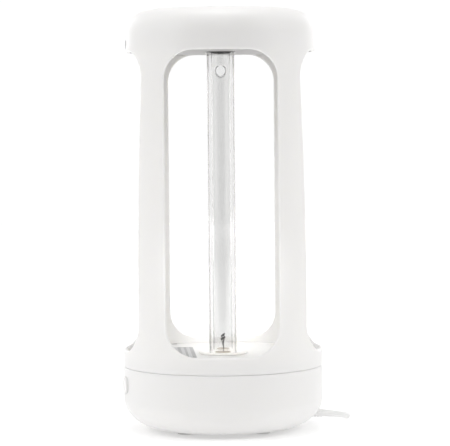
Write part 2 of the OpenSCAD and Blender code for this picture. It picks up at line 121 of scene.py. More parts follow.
class LampColours(bpy.types.PropertyGroup):
    """Colours of the lamp's finishes"""
    housing: colour("Housing", "White moulding of the housing and the base", (0.86, 0.852, 0.842))
    deck: colour("Deck", "Slightly warm white of the deck", (0.86, 0.85, 0.83))
    collar: colour("Collar", "Moulding of the lamp's collar", (0.90, 0.885, 0.855))
    cord: colour("Cord", "Sheath of the mains cord", (0.88, 0.876, 0.87))
    cement: colour("Cement", "Baked cement that holds the tubes", (0.42, 0.37, 0.31))
    plate: colour("Rating plate", "Ground of the printed plate", (0.55, 0.55, 0.55))
    lens: colour("Sensor window", "Dark window of the sensor", (0.30, 0.30, 0.31))


def sizes():
    return bpy.context.scene.lamp_sizes


def colours():
    return bpy.context.scene.lamp_colours


# --- Shader groups and materials ------------------------------------------------------------

def socket(group, name, kind, way="INPUT", default=None):
    made = group.interface.new_socket(name=name, in_out=way, socket_type=kind)
    if default is not None:
        made.default_value = default
    return made


def add_node(tree, kind, inputs=None, **settings):
    """Adds a node, sets its settings, and sets or links its inputs."""
    made = tree.nodes.new(kind)
    for key, value in settings.items():
        setattr(made, key, value)
    for key, value in (inputs or {}).items():
        if isinstance(value, bpy.types.NodeSocket):
            tree.links.new(value, made.inputs[key])
        else:
            made.inputs[key].default_value = value
    return made


def map_range(tree, value, start, end, low, high, smooth=False):
    """Maps start..end onto low..high, held at both ends."""
    shape = "SMOOTHSTEP" if smooth else "LINEAR"
    return add_node(tree, "ShaderNodeMapRange", {
        "Value": value, "From Min": start, "From Max": end, "To Min": low, "To Max": high},
        interpolation_type=shape).outputs["Result"]


def sum_up(tree, operation, *values):
    return add_node(tree, "ShaderNodeMath", dict(enumerate(values)),
                    operation=operation).outputs[0]


def start_group(name, inputs):
    """A shader group with these inputs, as (name, kind, default), and the shared outputs."""
    group = bpy.data.node_groups.new(name, "ShaderNodeTree")
    for label, kind, default in inputs:
        socket(group, label, "NodeSocket" + kind, default=default)
    for label, kind in (("Colour", "Color"), ("Roughness", "Float"), ("Height", "Float")):
        socket(group, label, "NodeSocket" + kind, "OUTPUT")
    return group


def end_group(group, given, share, second, fine):
    """Mixes the two colours by a share. Roughness and height follow the fine noise."""
    mixed = add_node(group, "ShaderNodeMix", data_type="RGBA")
    group.links.new(share, mixed.inputs["Factor"])
    group.links.new(given["Colour"], mixed.inputs["A"])
    group.links.new(given[second], mixed.inputs["B"])
    off = sum_up(group, "SUBTRACT", fine, 0.5)
    rough = sum_up(group, "MULTIPLY_ADD", off, given["Roughness Spread"], given["Roughness"])
    out = group.nodes.new("NodeGroupOutput")
    group.links.new(mixed.outputs["Result"], out.inputs["Colour"])
    group.links.new(rough, out.inputs["Roughness"])
    group.links.new(fine, out.inputs["Height"])


def surface_group():
    """Moulded or cast surface: soft mottling in two colours, and a fine grain."""
    name = "Lamp surface"
    if name in bpy.data.node_groups:
        return bpy.data.node_groups[name]
    group = start_group(name, (
        ("Colour", "Color", (0.8, 0.8, 0.8, 1)), ("Second Colour", "Color", (0.7, 0.7, 0.7, 1)),
        ("Mottling", "Float", 0.3), ("Mottling Scale", "Float", 20.0),
        ("Grain Scale", "Float", 1500.0), ("Roughness", "Float", 0.4),
        ("Roughness Spread", "Float", 0.1)))
    given = group.nodes.new("NodeGroupInput").outputs
    where = add_node(group, "ShaderNodeTexCoord").outputs["Object"]
    broad = add_node(group, "ShaderNodeTexNoise", {
        "Vector": where, "Scale": given["Mottling Scale"], "Detail": 3.0, "Roughness": 0.55})
    grain = add_node(group, "ShaderNodeTexNoise", {
        "Vector": where, "Scale": given["Grain Scale"], "Detail": 2.0, "Roughness": 0.6})
    share = map_range(group, broad.outputs["Fac"], 0.3, 0.7, 0.0, given["Mottling"])
    end_group(group, given, share, "Second Colour", grain.outputs["Fac"])
    return group


def metal_group():
    """Drawn or rolled metal: streaks along one axis, with a dull film in patches."""
    name = "Lamp metal"
    if name in bpy.data.node_groups:
        return bpy.data.node_groups[name]
    group = start_group(name, (
        ("Colour", "Color", (0.7, 0.7, 0.7, 1)), ("Film Colour", "Color", (0.5, 0.5, 0.5, 1)),
        ("Film", "Float", 0.4), ("Streak Scale", "Vector", (2000, 2000, 60)),
        ("Roughness", "Float", 0.35), ("Roughness Spread", "Float", 0.2)))
    given = group.nodes.new("NodeGroupInput").outputs
    where = add_node(group, "ShaderNodeTexCoord").outputs["Object"]
    scaled = add_node(group, "ShaderNodeVectorMath", {0: where, 1: given["Streak Scale"]},
                      operation="MULTIPLY")
    streak = add_node(group, "ShaderNodeTexNoise", {
        "Vector": scaled.outputs[0], "Scale": 1.0, "Detail": 3.0})
    film = add_node(group, "ShaderNodeTexNoise", {
        "Vector": where, "Scale": 260.0, "Detail": 4.0})
    share = map_range(group, film.outputs["Fac"], 0.4, 0.65, 0.0, given["Film"])
    end_group(group, given, share, "Film Colour", streak.outputs["Fac"])
    return group


def opaque(rgb):
    return (rgb[0], rgb[1], rgb[2], 1.0)


def shade(rgb, factor):
    return tuple(min(1.0, c * factor) for c in rgb)


def finished(name, group, inputs, metallic=0.0, bump=0.05, depth=0.00002, coat=0.0,
             coat_rough=0.1, specular=0.5, transmission=0.0, ior=1.5, subsurface=0.0):
    """A material whose colour, roughness and bump come from one of the shader groups."""
    if name in bpy.data.materials:
        return bpy.data.materials[name]
    material = bpy.data.materials.new(name)
    material.use_nodes = True
    tree = material.node_tree
    shader = next(n for n in tree.nodes if n.type == "BSDF_PRINCIPLED")
    source = tree.nodes.new("ShaderNodeGroup")
    source.node_tree = group
    for key, value in inputs.items():
        source.inputs[key].default_value = value
    rise = add_node(tree, "ShaderNodeBump", {
        "Height": source.outputs["Height"], "Strength": bump, "Distance": depth})
    tree.links.new(source.outputs["Colour"], shader.inputs["Base Color"])
    tree.links.new(source.outputs["Roughness"], shader.inputs["Roughness"])
    tree.links.new(rise.outputs["Normal"], shader.inputs["Normal"])
    shader.inputs["Metallic"].default_value = metallic
    shader.inputs["Specular IOR Level"].default_value = specular
    shader.inputs["Coat Weight"].default_value = coat
    shader.inputs["Coat Roughness"].default_value = coat_rough
    shader.inputs["Transmission Weight"].default_value = transmission
    shader.inputs["IOR"].default_value = ior
    shader.inputs["Subsurface Weight"].default_value = subsurface
    if subsurface:
        shader.inputs["Subsurface Radius"].default_value = (0.004, 0.004, 0.0038)
        shader.inputs["Subsurface Scale"].default_value = 0.5
    return material


def plastic(name, rgb, second=0.94, rough=0.42, spread=0.12, mottling=0.35, grain=1600.0,
            scale=22.0, **more):
    return finished(name, surface_group(), {
        "Colour": opaque(rgb), "Second Colour": opaque(shade(rgb, second)),
        "Mottling": mottling, "Mottling Scale": scale, "Grain Scale": grain,
        "Roughness": rough, "Roughness Spread": spread}, **more)


def metal(name, rgb, film=0.7, amount=0.4, rough=0.35, streak=(2200, 2200, 80), **more):
    return finished(name, metal_group(), {
        "Colour": opaque(rgb), "Film Colour": opaque(shade(rgb, film)), "Film": amount,
        "Streak Scale": streak, "Roughness": rough, "Roughness Spread": 0.2},
        metallic=1.0, **more)


def make_finishes():
    """All the materials, by the names that the operators use."""
    c = colours()
    return {
        "housing": plastic("White moulding", c.housing, second=0.975, rough=0.42,
                           spread=0.1, grain=2600, bump=0.08, coat=0.05, coat_rough=0.3,
                           specular=0.35, subsurface=0.8),
        # Painted shade: the ceiling plate is dark grey to stand for the shade under the cap.
        "ceiling": plastic("Ceiling painted shade", (0.42, 0.41, 0.405), second=0.97, rough=0.5),
        "button": plastic("Button moulding", c.housing, rough=0.3, coat=0.2),
        "deck": plastic("Deck moulding", c.deck, second=0.96, rough=0.45, grain=1400,
                        bump=0.15, subsurface=0.6),
        "collar": plastic("Collar moulding", c.collar, second=0.93, rough=0.4),
        "grommet": plastic("Grommet rubber", (0.10, 0.10, 0.10), rough=0.6, bump=0.2),
        "seal": plastic("Tube seal", (0.05, 0.048, 0.046), rough=0.12, spread=0.04, coat=0.4),
        "slot": plastic("Slot shade", (0.34, 0.33, 0.32), rough=0.7),
        "lens": plastic("Sensor window", c.lens, rough=0.15, spread=0.04, coat=0.6),
        "board": plastic("Circuit board", (0.02, 0.17, 0.07), second=1.5, rough=0.35,
                         scale=320.0, mottling=0.6, coat=0.3),
        "black": plastic("Black moulding", (0.02, 0.02, 0.02), second=1.6, rough=0.45),
        "cement": plastic("Cement", c.cement, second=0.8, rough=0.85, scale=900.0,
                          mottling=0.9, grain=2600, bump=0.6, depth=0.0001),
        "cathode": metal("Cathode wire", (0.05, 0.045, 0.045), rough=0.5),
        "brass": metal("Contact brass", (0.72, 0.52, 0.22), rough=0.3),
        "steel": metal("Zinc screw", (0.62, 0.62, 0.63), rough=0.35, amount=0.5),
        "pin": metal("Plug pin", (0.70, 0.69, 0.66), rough=0.2, amount=0.25),
        "plate": plastic("Plate ground", c.plate, second=0.93, rough=0.35, scale=60.0),
        "plate_dark": plastic("Plate print", shade(c.plate, 0.72), second=0.9, rough=0.4,
                              scale=60.0),
        "plate_light": plastic("Plate bars", shade(c.plate, 1.02), second=0.95, rough=0.35),
        "foot": plastic("Foot rubber", (0.76, 0.76, 0.75), second=0.9, rough=0.8,
                        bump=0.35, depth=0.00006),
        "ferrite": plastic("Ferrite", (0.05, 0.05, 0.055), second=1.5, rough=0.6,
                           scale=500.0, bump=0.3),
        "copper": metal("Enamelled copper", (0.55, 0.22, 0.07), rough=0.3,
                        streak=(2600, 60, 2600), coat=0.5),
        "sleeve": plastic("Capacitor sleeve", (0.015, 0.03, 0.13), second=1.3, rough=0.3),
        "resin": plastic("Dipped resin", (0.42, 0.05, 0.025), second=0.8, rough=0.25,
                         scale=120.0, coat=0.4),
        "fuse": plastic("Fuse glass", (0.75, 0.78, 0.78), rough=0.1, transmission=0.7,
                        ior=1.47),
        "sink": metal("Extruded aluminium", (0.60, 0.61, 0.62), rough=0.4),
        "terminal": plastic("Terminal block", (0.02, 0.20, 0.06), rough=0.4),
        "lead_white": plastic("White insulation", (0.72, 0.72, 0.72), rough=0.45),
        "lead_red": plastic("Red insulation", (0.38, 0.02, 0.015), rough=0.45),
        "lead_brown": plastic("Brown insulation", (0.10, 0.04, 0.02), rough=0.45),
        "cord": plastic("Cord sheath", c.cord, second=0.96, rough=0.5, grain=2200, bump=0.2,
                        scale=90.0),
        "tie": plastic("Tie", (0.03, 0.03, 0.03), second=1.5, rough=0.5),
        "quartz": plastic("Quartz", (0.95, 0.95, 0.948), second=0.99, rough=0.03,
                          spread=0.02, scale=30.0, bump=0.02, transmission=1.0, ior=1.46),
    }


# --- Mesh building --------------------------------------------------------------------------

def add_object(name, data):
    made = bpy.data.objects.new(name, data)
    bpy.context.scene.collection.objects.link(made)
    return made


def smooth_mesh(name, bm):
    """Turns a bmesh into a mesh with smooth faces."""
    mesh = bpy.data.meshes.new(name)
    bm.to_mesh(mesh)
    bm.free()
    for polygon in mesh.polygons:
        polygon.use_smooth = True
    return mesh


def piece(name, bm, material, body="housing", replaces=()):
    """Turns a bmesh into a smooth object that rides on a body."""
    bmesh.ops.remove_doubles(bm, verts=bm.verts, dist=1e-7)
    bmesh.ops.recalc_face_normals(bm, faces=bm.faces)
    mesh = smooth_mesh(name, bm)
    mesh.materials.append(material)
    made = add_object(name, mesh)
    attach(made, body)
    if replaces:
        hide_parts(*replaces)
    return made


def ring(bm, points):
    return [bm.verts.new(p) for p in points]


def join_rings(bm, first, second, closed=True):
    """Quads between two rings of the same count."""
    count = len(first)
    for i in range(count if closed else count - 1):
        j = (i + 1) % count
        bm.faces.new((first[i], first[j], second[j], second[i]))


def circle(radius, height, turns):
    return [(radius * math.cos(a), radius * math.sin(a), height) for a in turns]


def loft(bm, rows, closed=True):
    """Joins rows of points one after another. Returns their vertices, row by row."""
    made = [ring(bm, points) for points in rows]
    for first, second in zip(made, made[1:]):
        join_rings(bm, first, second, closed)
    return made


def close_ring(bm, points, middle):
    """A fan from a ring to its middle point."""
    hub = bm.verts.new(middle)
    for i in range(len(points)):
        bm.faces.new((points[i], points[(i + 1) % len(points)], hub))


def lathe(bm, profile, place=Matrix.Identity(4), segments=64):
    """Turns (radius, height) pairs about Z. A radius of 0 closes the surface there."""
    last = None
    for radius, height in profile:
        if radius < 1e-7:
            if last is None:
                last = (None, height)
                continue
            close_ring(bm, last, place @ Vector((0, 0, height)))
            last = None
            continue
        turned = [place @ Vector((radius * math.cos(a), radius * math.sin(a), height))
                  for a in (2 * math.pi * k / segments for k in range(segments))]
        made = ring(bm, turned)
        if isinstance(last, tuple):
            close_ring(bm, made, place @ Vector((0, 0, last[1])))
        elif last is not None:
            join_rings(bm, last, made)
        last = made


def arc(centre, radius, start, end, steps):
    """Points on an arc, in degrees, ends included."""
    return [(centre[0] + radius * math.cos(math.radians(start + (end - start) * k / steps)),
             centre[1] + radius * math.sin(math.radians(start + (end - start) * k / steps)))
            for k in range(steps + 1)]


class Wall:
    """A round upright wall. Its outside radius depends on the height."""

    def __init__(self, radius_at, centre=(0.0, 0.0)):
        self.radius_at = radius_at
        self.centre = centre

    def at(self, turn, height, depth=0.0):
        radius = self.radius_at(height) - depth
        return Vector((self.centre[0] + radius * math.cos(turn),
                       self.centre[1] + radius * math.sin(turn), height))

    def turn(self, facing, across, height, depth=0.0):
        return facing + math.asin(across / (self.radius_at(height) - depth))


def skin_to_hole(bm, wall, facing, hole, depth, border, shares):
    """Blends a wall from the points of a hole, as (across, height), out to a border, as
    (turn, height). Returns the hole's ring."""
    turned = [(wall.turn(facing, x, z, depth), z) for x, z in hole]
    first = last = None
    for share in shares:
        points = [wall.at(a + (c - a) * share, b + (d - b) * share, depth)
                  for (a, b), (c, d) in zip(turned, border)]
        made = ring(bm, points)
        if last:
            join_rings(bm, last, made)
        first = first or made
        last = made
    return first


def rim(bm, wall, facing, outline, thickness, outer_edge, inner_edge, start, end, steps=5):
    """The edge of a hole, rounded on the outside and on the inside."""
    last = start
    for k in range(1, steps + 1):
        a = math.radians(90 * k / steps)
        depth = outer_edge * (1 - math.cos(a))
        points = outline(outer_edge * (1 - math.sin(a)))
        last = rim_ring(bm, wall, facing, points, depth, last)
    for k in range(0, steps):
        a = math.radians(90 * k / steps)
        depth = thickness - inner_edge + inner_edge * math.sin(a)
        points = outline(inner_edge * (1 - math.cos(a)))
        last = rim_ring(bm, wall, facing, points, depth, last)
    join_rings(bm, last, end)


def rim_ring(bm, wall, facing, points, depth, last):
    made = ring(bm, [wall.at(wall.turn(facing, x, z, depth), z, depth) for x, z in points])
    join_rings(bm, last, made)
    return made


# --- Housing --------------------------------------------------------------------------------

CORNER_STEPS = 9
ACROSS_STEPS = 14
UP_STEPS = 40
TILE_LOW = 0.0555
TILE_HIGH = 0.2995
POST_R = 0.063


def body_radius(z):
    return sizes().body_r - max(0.0, z - TAPER_Z) ** 2 / (2 * TAPER_ARC)


def window_outline(offset):
    """A window's rounded outline moved outwards, as (across, height), from its lower left."""
    s = sizes()
    half, radius = s.window_half + offset, s.window_r + offset
    low, high = SILL_Z - offset, CEILING_Z + offset
    centres = [(-half + radius, low + radius), (half - radius, low + radius),
               (half - radius, high - radius), (-half + radius, high - radius)]
    points = []
    for side in range(4):
        normal = 90 * side - 90
        steps = UP_STEPS if side % 2 else ACROSS_STEPS
        a, b = centres[side], centres[(side + 1) % 4]
        first = arc(a, radius, normal - 45, normal, CORNER_STEPS)
        last = arc(b, radius, normal, normal + 45, CORNER_STEPS)
        middle = [(first[-1][0] + (last[0][0] - first[-1][0]) * k / steps,
                   first[-1][1] + (last[0][1] - first[-1][1]) * k / steps)
                  for k in range(1, steps)]
        points += first + middle + last[:-1]
    return points


def tile_border(facing):
    """The border of one quarter of the wall, matching the window's outline."""
    across = ACROSS_STEPS + 2 * CORNER_STEPS
    up = UP_STEPS + 2 * CORNER_STEPS
    low, high = TILE_LOW, TILE_HIGH
    left, right = facing - math.pi / 4, facing + math.pi / 4
    points = [(left + (right - left) * k / across, low) for k in range(across)]
    points += [(right, low + (high - low) * k / up) for k in range(up)]
    points += [(right + (left - right) * k / across, high) for k in range(across)]
    points += [(left, high + (low - high) * k / up) for k in range(up)]
    return points


def cap_profile(inset):
    """The cap's outline as (radius, height), from the tiles' top to the middle."""
    shoulder = body_radius(CAP_Z) - CAP_W
    points = [(body_radius(TILE_HIGH) - inset, TILE_HIGH)]
    for k in range(0, 25):
        a = math.radians(90 * (k / 24) ** 0.9)
        points.append((
            shoulder + (CAP_W - inset) * max(0.0, math.cos(a)) ** (2 / CAP_POWER),
            CAP_Z + (CAP_H - inset) * math.sin(a) ** (2 / CAP_POWER)))
    for k in range(1, 9):
        share = 1 - k / 8
        points.append((shoulder * share,
                       CAP_Z + CAP_H - inset + DOME_H * (1 - share * share)))
    return points


def build_housing(finishes):
    s = sizes()
    bm = bmesh.new()
    wall = Wall(body_radius)
    shares = [0, 0.06, 0.15, 0.3, 0.5, 0.75, 1]
    inner_edge = 0.0007
    for quarter in range(4):
        facing = quarter * math.pi / 2
        border = tile_border(facing)
        outer = skin_to_hole(bm, wall, facing, window_outline(s.edge_r), 0, border, shares)
        inner = skin_to_hole(bm, wall, facing, window_outline(inner_edge), s.wall, border,
                             shares)
        rim(bm, wall, facing, window_outline, s.wall, s.edge_r, inner_edge, outer, inner)
    turns = sorted({round(a % (2 * math.pi), 9) for q in range(4)
                    for a, z in tile_border(q * math.pi / 2) if abs(z - TILE_LOW) < 1e-9})
    for inset in (0.0, s.wall):
        *sides, (_, top) = cap_profile(inset)
        rows = loft(bm, [circle(radius, z, turns) for radius, z in sides])
        close_ring(bm, rows[-1], (0, 0, top))
    foot_z = SEAM_Z + SEAM_GAP / 2
    edge = 0.00028
    foot = [(s.body_r, TILE_LOW), (s.body_r, foot_z + 0.0022)]
    foot += arc((s.body_r - edge, foot_z + edge), edge, 0, -90, 4)
    foot += [(s.body_r - s.wall + 0.0002, foot_z), (s.body_r - s.wall, foot_z + 0.0002),
             (s.body_r - s.wall, TILE_LOW)]
    loft(bm, [circle(radius, z, turns) for radius, z in foot])
    for quarter in range(4):
        a = math.pi / 4 + quarter * math.pi / 2
        place = Matrix.Translation((POST_R * math.cos(a), POST_R * math.sin(a), 0))
        lathe(bm, [(0.0012, 0.312), (0.0012, 0.2957), (0.0034, 0.2956), (0.0036, 0.2960),
                   (0.0036, 0.3130), (0.0012, 0.3135)], place, 24)
    return piece("housing_shell", bm, finishes["housing"],
                 replaces=["upper_housing"])


# --- Base -----------------------------------------------------------------------------------

CUP_SEGMENTS = 180
HOLE_COLUMNS = 5
HOLE_ROWS = 11
HOLE_LOW = 0.0272
HOLE_HIGH = 0.0458


def cup_profile(inset):
    """The cup's outline as (radius, height), from the middle up to the straight wall."""
    s = sizes()
    low = s.body_r - CORNER_W
    points = [(low * k / 6, BASE_Z + inset) for k in range(1, 6)]
    for k in range(0, 25):
        a = math.radians(90 * k / 24)
        points.append((low + (CORNER_W - inset) * math.sin(a),
                       BASE_Z + CORNER_H - (CORNER_H - inset) * math.cos(a)))
    return points


def build_base(finishes):
    s = sizes()
    bm = bmesh.new()
    wall = Wall(lambda z: s.body_r)
    step = 2 * math.pi / CUP_SEGMENTS
    facing = math.pi + BASE_TURN
    turns = [facing + (k + HOLE_COLUMNS) * step for k in range(CUP_SEGMENTS - 2 * HOLE_COLUMNS + 1)]
    ends = [facing + (k - HOLE_COLUMNS) * step for k in range(2 * HOLE_COLUMNS + 1)]
    every = [facing + k * step for k in range(CUP_SEGMENTS)]
    levels = [HOLE_LOW + (HOLE_HIGH - HOLE_LOW) * k / HOLE_ROWS for k in range(HOLE_ROWS + 1)]
    border = [(a, HOLE_LOW) for a in ends[:-1]] + [(ends[-1], z) for z in levels[:-1]]
    border += [(a, HOLE_HIGH) for a in ends[:0:-1]] + [(ends[0], z) for z in levels[:0:-1]]
    angles = [math.atan2(z - BUTTON_Z, (a - facing) * s.body_r) for a, z in border]
    hole_r = s.button_r + 0.00025

    def outline(offset):
        return [((hole_r + offset) * math.cos(a), BUTTON_Z + (hole_r + offset) * math.sin(a))
                for a in angles]

    edge = 0.0003
    outer = skin_to_hole(bm, wall, facing, outline(edge), 0, border, [0, 0.2, 0.5, 1])
    inner = skin_to_hole(bm, wall, facing, outline(edge), s.wall, border, [0, 0.2, 0.5, 1])
    rim(bm, wall, facing, outline, s.wall, edge, edge, outer, inner, 3)
    for inset in (0.0, s.wall):
        loft(bm, [[wall.at(a, z, inset) for a in turns] for z in levels], closed=False)
        cup = cup_profile(inset) + [(s.body_r - inset, HOLE_LOW)]
        rows = loft(bm, [circle(radius, z, every) for radius, z in cup])
        close_ring(bm, rows[0], (0, 0, cup[0][1]))
    top = SEAM_Z - SEAM_GAP / 2
    rim_edge = 0.0004
    rail = [(s.body_r, HOLE_HIGH), (s.body_r, top - 0.0022)]
    rail += arc((s.body_r - rim_edge, top - rim_edge), rim_edge, 0, 90, 4)
    rail += [(s.body_r - s.wall - 0.0003, top), (s.body_r - s.wall - 0.0003, SEAM_Z + 0.0037),
             (s.body_r - s.wall - 0.0006, SEAM_Z + 0.0040),
             (s.body_r - 2 * s.wall + 0.0003, SEAM_Z + 0.0040),
             (s.body_r - 2 * s.wall, SEAM_Z + 0.0037),
             (s.body_r - 2 * s.wall, SEAM_Z - 0.002), (s.body_r - s.wall, HOLE_HIGH)]
    loft(bm, [circle(radius, z, every) for radius, z in rail])
    return piece("base_shell", bm, finishes["housing"],
                 replaces=["base_cup"])


def build_feet(finishes):
    bm = bmesh.new()
    profile = [(0, 0.0008), (0.0009, 0.0008), (0.0010, 0.0001), (0.0011, 0)]
    profile += [(0.0030, 0), (0.0054, 0)] + arc((0.0054, 0.0005), 0.0005, -90, 0, 4)
    profile += [(0.0060, 0.0012), (0.0064, 0.0023), (0.0062, 0.0024), (0.0030, 0.0024),
                (0.0030, 0.0037), (0.0028, 0.0039), (0, 0.0039)]
    for quarter in range(4):
        a = math.pi / 4 + quarter * math.pi / 2
        place = Matrix.Translation((FOOT_R * math.cos(a), FOOT_R * math.sin(a), 0))
        lathe(bm, profile, place, 40)
    return piece("rubber_foot_set", bm, finishes["foot"],
                 replaces=["rubber_feet"])


# --- Lamp tubes -----------------------------------------------------------------------------

TUBE_STEPS = 60
BRIDGE_COLUMNS = 6
BRIDGE_ROWS = 10


def build_quartz(finishes):
    s = sizes()
    bm = bmesh.new()
    step = 2 * math.pi / TUBE_STEPS
    low, high = BRIDGE_Z - 0.0085, BRIDGE_Z + 0.0085
    levels = [low + (high - low) * k / BRIDGE_ROWS for k in range(BRIDGE_ROWS + 1)]
    mouths = {}
    for side, facing in ((-1, math.pi / 2), (1, -math.pi / 2)):
        centre = (0.0, side * TUBE_HALF_PITCH)
        ends = [facing + (k - BRIDGE_COLUMNS) * step for k in range(2 * BRIDGE_COLUMNS + 1)]
        rest = [facing + (k + BRIDGE_COLUMNS) * step
                for k in range(TUBE_STEPS - 2 * BRIDGE_COLUMNS + 1)]
        every = [facing + k * step for k in range(TUBE_STEPS)]
        border = [(a, low) for a in ends[:-1]] + [(ends[-1], z) for z in levels[:-1]]
        border += [(a, high) for a in ends[:0:-1]] + [(ends[0], z) for z in levels[:0:-1]]
        angles = [math.atan2(z - BRIDGE_Z, (a - facing) * s.tube_r) for a, z in border]
        feet = []
        for inset in (0.0, s.tube_wall):
            radius = s.tube_r - inset
            wall = Wall(lambda z, r=radius: r, centre)
            mouth_r = s.bridge_r - (0.001 if inset else 0)
            hole = [(mouth_r * math.cos(a), BRIDGE_Z + mouth_r * math.sin(a))
                    for a in angles]
            mouths[side, inset > 0] = skin_to_hole(bm, wall, facing, hole, 0, border,
                                                   [0, 0.25, 0.55, 1])
            loft(bm, [[wall.at(a, z) for a in rest] for z in levels], closed=False)
            heights = [TUBE_FOOT_Z + 0.0003, 0.0505, 0.056, 0.0625, 0.09, 0.15, 0.21, 0.25, low]
            feet.append(loft(bm, [[wall.at(a, z) for a in every] for z in heights])[0])
            top = TUBE_TOP_Z - s.tube_r
            dome = [[wall.at(a, high) for a in every]]
            for r, rise in arc((0, 0), radius, 0, 90, 12)[:-1]:
                dome.append([(centre[0] + r * math.cos(t), centre[1] + r * math.sin(t),
                              top + rise) for t in every])
            close_ring(bm, loft(bm, dome)[-1], (centre[0], centre[1], top + radius))
        join_rings(bm, feet[1], feet[0])
    for inner in (False, True):
        front, back = mouths[-1, inner], mouths[1, inner]
        matched = []
        for v in front:
            matched.append(min(back, key=lambda w: (w.co.x - v.co.x) ** 2
                               + (w.co.z - v.co.z) ** 2))
        last = front
        for k in range(1, 4):
            share = k / 4
            made = ring(bm, [a.co.lerp(b.co, share) for a, b in zip(front, matched)])
            join_rings(bm, last, made)
            last = made
        join_rings(bm, last, matched)
    made = piece("quartz_tubes", bm, finishes["quartz"], replaces=["quartz_lamp"])
    made.visible_shadow = False
    return made


def oval_loop(radius, half, steps=40):
    """A loop with round ends along Y."""
    return arc((0, half), radius, 0, 180, steps) + arc((0, -half), radius, 180, 360, steps)


def build_collar(finishes):
    """The lamp's collar: a rounded oval flange over its body."""
    bm = bmesh.new()
    low = DECK_Z + 0.0003
    top = low + 0.0014
    edge = 0.0006
    flange, half = 0.0190, 0.00625
    levels = [(0.0155, 0.0086, 0.042), (0.0155, 0.0086, low), (flange - 0.0001, half, low),
              (flange, half, low + 0.0001)]
    levels += [(r, half, z) for r, z in arc((flange - edge, top - edge), edge, 0, 90, 4)]
    levels += [(0.0142, half, top), (0.0139, half, top - 0.0002)]
    rows = loft(bm, [[(x, y, z) for x, y in oval_loop(r, reach)] for r, reach, z in levels])
    for row, level in ((rows[0], levels[0]), (rows[-1], levels[-1])):
        close_ring(bm, row, (0, 0, level[2]))
    return piece("lamp_collar", bm, finishes["collar"],
                 replaces=["lamp_base"])


def build_cement(finishes):
    """The cement plugs in the tubes' ends, stepped up to the collar's face."""
    bm = bmesh.new()
    profile = [(0, 0.0502), (0.0090, 0.0502), (0.0092, 0.0504), (0.0092, 0.0594),
               (0.0061, 0.0597), (0.0061, 0.0613), (0.0057, 0.0616), (0, 0.0617)]
    for side in (-1, 1):
        lathe(bm, profile, Matrix.Translation((0, side * TUBE_HALF_PITCH, 0)), 48)
    return piece("cement_plugs", bm, finishes["cement"], replaces=["cement_discs"])


def build_seal(finishes):
    """The glossy lip that closes the ceiling's hole round the two tubes."""
    bm = bmesh.new()
    rows = []
    for k in range(12):
        a = 2 * math.pi * k / 12
        radius, z = 0.01125 + 0.00055 * math.cos(a), CEILING_Z + 0.0001 + 0.0007 * math.sin(a)
        rows.append([(x, y, z) for x, y in oval_loop(radius, TUBE_HALF_PITCH)])
    made = loft(bm, rows)
    join_rings(bm, made[-1], made[0])
    return piece("tube_seal", bm, finishes["seal"])


# --- Button, sensor, plate ------------------------------------------------------------------

def along_x(x, turn, height):
    """Places a lathe's axis along X in a frame turned about the vertical."""
    return (Matrix.Rotation(turn, 4, "Z") @ Matrix.Translation((x, 0, height))
            @ Matrix.Rotation(math.pi / 2, 4, "Y"))


def build_button(finishes):
    s = sizes()
    bm = bmesh.new()
    r = s.button_r
    depth = BUTTON_FLANGE_X - BUTTON_FACE_X
    profile = [(0, 0.00018), (r * 0.35, 0.00014), (r * 0.65, 0.00006), (r * 0.82, 0)]
    profile += arc((r - 0.0006, 0.0006), 0.0006, -90, 0, 6)
    profile += [(r, depth - 0.0001), (r + 0.0001, depth), (0.0080, depth),
                (0.0082, depth + 0.0002), (0.0082, depth + 0.0010), (0.0080, depth + 0.0012),
                (0.0054, depth + 0.0012), (0.0053, depth + 0.0011), (0.0053, 0.0020),
                (0.0051, 0.0019), (0.0031, 0.0019), (0.0030, 0.0020), (0.0030, depth + 0.0074),
                (0.0028, depth + 0.0076), (0, depth + 0.0076)]
    lathe(bm, profile, along_x(BUTTON_FACE_X, BASE_TURN, BUTTON_Z), 72)
    return piece("push_button", bm, finishes["button"], "button",
                 ["power_button"])


def build_sensor(finishes):
    bm = bmesh.new()
    face = body_radius(SENSOR_Z) + 0.00035
    profile = [(0.0048, 0.0682), (0.0048, 0.0694), (0.00365, 0.0694),
               (0.00365, face - 0.0005)]
    profile += arc((0.00325, face - 0.0004), 0.0004, 0, 60, 3)
    profile += [(0.0024, face + 0.0001), (0.0012, face + 0.00017), (0, face + 0.0002)]
    lathe(bm, [(0, 0.0682)] + profile, along_x(0, SENSOR_TURN, SENSOR_Z), 48)
    return piece("sensor_lens", bm, finishes["lens"],
                 replaces=["sensor_window"])


def slab(bm, x0, x1, y0, y1, z0, z1, place, edge=0.0):
    """A flat slab with rounded corners and a chamfered upper edge."""
    corners = [(x1, y1, 0), (x0, y1, 90), (x0, y0, 180), (x1, y0, 270)]
    radius = 0.0012

    def outline(inset, z):
        points = []
        for x, y, start in corners:
            cx = x - radius if x == x1 else x + radius
            cy = y - radius if y == y1 else y + radius
            points += arc((cx, cy), radius - inset, start, start + 90, 6)
        return ring(bm, [place @ Vector((a, b, z)) for a, b in points])

    bottom, side, top = outline(0, z0), outline(0, z1 - edge), outline(edge, z1)
    join_rings(bm, bottom, side)
    join_rings(bm, side, top)
    bm.faces.new(top)
    bm.faces.new(bottom)


